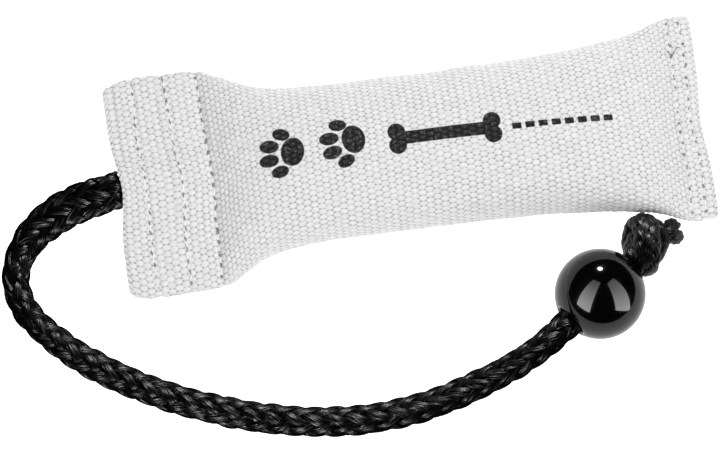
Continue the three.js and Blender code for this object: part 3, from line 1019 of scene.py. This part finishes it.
def make_sleeve():
    """The hose, as one closed skin with its weave modelled on the outside."""
    course, hem, long = sleeve_rings()
    points = np.array([even_ring(x, depth) for x, depth in course])
    first = hem + RINGS_ROUND_FOLD
    last = first + long

    # Weave columns and rows, which go on round the folds and under the hems.
    u = np.zeros(len(course))
    u[first:last] = 0.5 + np.arange(long) / SAMPLES_PER_COLUMN
    turn = FOLD_LENGTH / COLUMN_PITCH / (RINGS_ROUND_FOLD + 1)
    for i in range(first - 1, -1, -1):
        u[i] = u[i + 1] - (turn if i >= hem - 1 else HIDDEN_STEP)
    for i in range(last, len(course)):
        u[i] = u[i - 1] + (turn if i <= last + RINGS_ROUND_FOLD else HIDDEN_STEP)
    v = np.arange(ROUND) / SAMPLES_PER_CELL

    # How much of the relief each ring has: it fades out round the folds.
    share = np.zeros(len(course))
    share[first:last] = 1
    share[hem:first] = smoothstep(np.arange(RINGS_ROUND_FOLD), -1, 5)
    share[last:last + RINGS_ROUND_FOLD] = 1 - smoothstep(np.arange(RINGS_ROUND_FOLD), 1, 7)
    relief = weave_height(u[:, None] + 0 * v, 0 * u[:, None] + v)
    lift = WEAVE_RELIEF * (relief - 0.6)
    on_outside = np.isin(np.arange(len(course)), np.arange(first, last))
    lift = lift + surface_detail(points) * on_outside[:, None]
    points = points + grid_normals(points) * (lift * share[:, None])[..., None]
    points[..., 2] = np.maximum(points[..., 2], 0.05)
    points = drawn_in(points)

    quads = grid_quads(len(course), ROUND, close_rows=True)
    piece = make_piece("woven_sleeve", points.reshape(-1, 3), quads, [CANVAS], "bumper",
                       "hose_sleeve")
    row, column = quads[:, 0] // ROUND, quads[:, 0] % ROUND
    after = np.append(u[1:], u[-1] + HIDDEN_STEP)
    next_v = v[column] + 1 / SAMPLES_PER_CELL
    corner_u = np.stack([u[row], u[row], after[row], after[row]], 1)
    corner_v = np.stack([v[column], next_v, next_v, v[column]], 1)
    set_uv(piece, "weave", np.stack([corner_u, corner_v], -1).reshape(-1, 2))
    flat = points.reshape(-1, 3)[quads][..., :2]
    printed = (column < ROUND // 2) & (row >= first) & (row < last - 1)
    flat[~printed] = FAR_FROM_PRINT
    set_uv(piece, "print", flat.reshape(-1, 2))
    return piece


def make_foam():
    """The soft filling, seen only if the sleeve is hidden."""
    stations = np.linspace(BELLY_LEFT + 4, BELLY_RIGHT - 5, 60)
    columns = 72
    rings = np.array([section(x, CLOTH + GAP + 0.2, round_angles(columns)) for x in stations])
    middle = rings.mean(1, keepdims=True)
    closing = middle + (rings - middle) * 0.02
    rings = np.concatenate([closing[:1], rings, closing[-1:]])
    quads = tube_quads(len(rings), columns)
    piece = make_piece("foam_filling", rings.reshape(-1, 3), quads, [FOAM], "bumper", "foam_core")


SLEEVE_PIECE = make_sleeve()
make_foam()

# ------------ stitching


def face_z(x, y, face):
    """Height of the cloth's upper (1) or lower (-1) face under a stitch."""
    angles = np.linspace(0.02, math.pi - 0.02, 400)
    curve = section(float(x), 0, angles if face > 0 else -angles)
    return float(np.interp(y, curve[::-1, 1], curve[::-1, 2]))


def capsule(ends, radii, rows=7, columns=8):
    """A rounded rod between two points, flattened to a width and a height."""
    a, b = np.array(ends[0], float), np.array(ends[1], float)
    direction = unit(b - a)
    side = unit(np.cross(direction, [0, 0, 1.0]))
    up = np.cross(side, direction)
    turn = round_angles(columns)
    points = []
    for t in np.linspace(0, 1, rows):
        swell = max(0.12, math.sin(math.pi * t) ** 0.45)
        centre = a + (b - a) * t
        ring = centre + swell * (radii[0] * np.cos(turn)[:, None] * side
                                 + radii[1] * np.sin(turn)[:, None] * up)
        points.append(ring)
    return np.concatenate(points), tube_quads(rows, columns)[:, ::-1]


def add_loose_thread(bodies):
    """A curled end of dark thread at the far corner of seam d."""
    route = spline([(111.8, 28.6, 23.2), (112.4, 27.2, 23.6), (113.1, 26.4, 23.7), (113.9, 27.2, 23.8),
                    (114.8, 28.5, 23.9), (116.0, 29.6, 23.7), (117.2, 29.3, 23.2)], 0.5)
    for here, after in zip(route, route[1:]):
        past = (after - here) * 0.3
        bodies.add(*capsule((here - past, after + past), (0.2, 0.2)), 1)


def make_seam(letter, face):
    """One thread of a seam: a stitch between each two needle holes, and dark dabs of painted shade at the
    holes themselves.
    """
    seam = SEAMS[letter]
    slant, sunk = seam["slant"], seam["sunk"]
    long, wide = seam["shade_speck"]
    rng = np.random.default_rng(ord(letter) + face)
    reach = hose_half_width(seam["x"]) - SEAM_EDGE_MARGIN
    stitches = round(2 * reach / STITCH_PITCH)
    holes = np.linspace(reach, -reach, stitches + 1) + rng.uniform(-0.35, 0.35, stitches + 1)
    spots = []
    for y in holes:
        x = seam_line(letter, y) + rng.uniform(-0.2, 0.2)
        spots.append(drawn_in(np.array([x, y, face_z(x, y, face)])))
    bodies = Bodies()
    for here, after in zip(spots, spots[1:]):
        start, stop = here + (after - here) * 0.16, here + (after - here) * 0.84
        start = start + [slant * 0.5, 0, -face * sunk]
        stop = stop + [-slant * 0.5, 0, -face * sunk]
        bodies.add(*capsule((start, stop), STITCH_SIZE), 0)
    # Painted shade: dark grey dabs at each needle hole stand in for the shadow inside the hole.
    for spot in spots:
        for _ in range(seam["shade_specks"]):
            size = rng.uniform(0.45, 1.2)
            half = np.array([slant * rng.uniform(0.4, 1.1), -1.0, 0]) * long * size
            centre = spot + [rng.uniform(-0.35, 0.35), rng.uniform(-0.9, 0.9), -face * (sunk - 0.1)]
            bodies.add(*capsule((centre - half, centre + half), (wide * size, 0.2)), 1)
    if letter == "d" and face > 0:
        add_loose_thread(bodies)
    name = f"seam_{letter}_" + ("needle" if face > 0 else "bobbin")
    return bodies.make(name + "_stitches", [THREAD, HOLE_SHADE_AND_DARK_THREAD], "thread", name + "_thread")


SEAM_PIECES = {(letter, face): make_seam(letter, face) for letter in SEAMS for face in (1, -1)}

# ------------ floor and light


def glow(name, colour, strength=0.0):
    """A matt material that gives off white light."""
    wires = Wires(name)
    wires.set(Base_Color=colour, Roughness=1.0, Specular_IOR_Level=0.0)
    wires.set(Emission_Color=(1, 1, 1, 1), Emission_Strength=strength)
    return wires


def stage_object(name, points, faces, wires, hidden_from):
    """A floor, backdrop or light panel. hidden_from lists the rays that don't see it."""
    mesh = bpy.data.meshes.new(name)
    mesh.from_pydata([tuple(p) for p in points], [], faces)
    mesh.materials.append(wires.material)
    made = bpy.data.objects.new(name, mesh)
    scene.collection.objects.link(made)
    for ray in hidden_from:
        setattr(made, "visible_" + ray, False)
    return made


def lit_by(light, pieces):
    """Lets a lamp, light panel or glowing floor reach only some pieces."""
    group = bpy.data.collections.new(light.name + "_receivers")
    for piece in pieces:
        group.objects.link(piece)
    light.light_linking.receiver_collection = group


BLACK = (0, 0, 0, 1)
PALE = (0.8, 0.8, 0.8, 1)
ONE_FACE = [(0, 1, 2, 3)]
ONLY_REFLECTED = ("camera", "diffuse", "transmission", "shadow")
ONLY_SEEN = ("diffuse", "glossy", "transmission", "shadow", "volume_scatter")


def add_floor(name, size, height, colour, strength, hidden_from):
    """A white floor: a glowing square, with its height in metres."""
    corners = [(size * x, size * y, height) for x, y in ((-1, -1), (1, -1), (1, 1), (-1, 1))]
    return stage_object(name, corners, ONE_FACE, glow(name + "_white", colour, strength), hidden_from)


def add_floors():
    """The floor that is seen, one that lights the object from below, and one that is mirrored."""
    add_floor("floor", 6, -0.0004, PALE, 0.75, ("glossy", "diffuse"))
    add_floor("lighting_floor", 6, 0, PALE, 1.0, ("glossy", "camera", "shadow"))
    mirrored = add_floor("mirrored_floor", 0.7, -0.0008, BLACK, 0.85, ONLY_REFLECTED)
    lit_by(mirrored, [BEAD_PIECE, KNOT_PIECE, END_PIECE, SLEEVE_PIECE])


def add_backdrop():
    """A white surround that only the camera sees, so that low views have no dark horizon."""
    rows, columns, radius = 17, 48, 5.5
    tilt = np.linspace(-0.2, math.pi / 2, rows)[:, None]
    turn = round_angles(columns)
    dome = [np.cos(tilt) * np.cos(turn), np.cos(tilt) * np.sin(turn), np.sin(tilt) + 0 * turn]
    points = radius * np.stack(dome, -1).reshape(-1, 3)
    stage_object("backdrop", points, grid_quads(rows, columns).tolist(), glow("backdrop_white", BLACK, 1.0),
                 ONLY_SEEN)


def from_view(right, up, back):
    return VIEW_RIGHT * right + VIEW_UP * up + VIEW_BACK * back


def add_panel(name, directions, distance, strengths):
    """A light panel, seen only in the bead. Its corners lie in given directions from the bead,
    and strengths are those of its top and bottom."""
    centre = Vector(BEAD_CENTRE * MM)
    corners = [centre + from_view(*d) * distance for d in directions]
    wires = glow(name, BLACK)
    _, down = wires.uv("down")
    wires.set(Emission_Strength=wires.step(down, 0.0, 1.0, *strengths))
    panel = stage_object(name, corners, ONE_FACE, wires, ONLY_REFLECTED)
    set_uv(panel, "down", [(0, 0), (1, 0), (1, 1), (0, 1)])
    lit_by(panel, [BEAD_PIECE])


def add_lamp(name, target, way, size, power, mirrored=False):
    """A round lamp, way off its target. It shows either in reflections or as plain light."""
    data = bpy.data.lights.new(name, "AREA")
    data.shape = "DISK"
    data.size = size
    data.energy = power
    lamp = bpy.data.objects.new(name, data)
    scene.collection.objects.link(lamp)
    place = target + way
    lamp.location = place
    lamp.rotation_mode = "QUATERNION"
    lamp.rotation_quaternion = (place - target).to_track_quat("Z", "Y")
    lamp.visible_glossy = mirrored
    lamp.visible_diffuse = not mirrored
    lamp.visible_camera = False
    return lamp


def add_world():
    """An even white light from all round, which is neither seen nor mirrored."""
    world = bpy.data.worlds.new("world")
    scene.world = world
    world.use_nodes = True
    background = world.node_tree.nodes["Background"]
    background.inputs[0].default_value = (1, 1, 1, 1)
    background.inputs[1].default_value = 0.42
    world.cycles_visibility.glossy = False
    world.cycles_visibility.camera = False


def add_lights():
    """Soft plain light from above, and lamps and panels that only gloss shows."""
    middle = Vector((0, 0, 0.02))
    bead = Vector(BEAD_CENTRE * MM)
    rope = Vector((-0.03, -0.06, 0.01))
    add_lamp("glint", bead, Vector((0.064, 0.803, 0.593)) * 1.1, 0.21, 4, True)
    add_lamp("back", middle, from_view(0.35, 0.75, 0.7), 0.5, 5)
    add_lamp("overhead", middle, from_view(0.0, 0.15, 1.3), 1.1, 4.6)
    add_lamp("front", middle, from_view(-0.2, -0.95, 0.75), 0.8, 4.8)
    edge = add_lamp("upper_edge", middle, from_view(0.1, 1.1, 0.12), 0.4, 0.9)
    lit_by(edge, [SLEEVE_PIECE])
    shiny_fibre = [ROPE_PIECE, TAIL_PIECE, KNOT_PIECE, END_PIECE, SEAM_PIECES["b", 1]]
    for name, way, power in (("rope_gloss_back", (0.25, 0.95, 0.55), 9),
                             ("rope_gloss_front", (-0.3, -0.9, 0.6), 8)):
        lit_by(add_lamp(name, rope, from_view(*way), 0.3, power, True), shiny_fibre)
    knot_lamp = add_lamp("knot_gloss", rope, from_view(0.5, 0.45, 1.0), 0.3, 5, True)
    lit_by(knot_lamp, [KNOT_PIECE, END_PIECE])
    add_panel("left_panel", [(-0.353, 0.589, 0.726), (-0.077, 0.4835, 0.870),
                             (-0.461, -0.705, 0.538), (-0.877, -0.359, 0.319)], 0.9, (1.6, 7.0))
    add_panel("right_panel", [(0.199, 0.441, 0.875), (0.445, 0.616, 0.649),
                              (0.873, -0.485, 0.048), (0.52, -0.6, 0.606)], 0.9, (1.7, 6.0))


add_floors()
add_backdrop()
add_world()
add_lights()
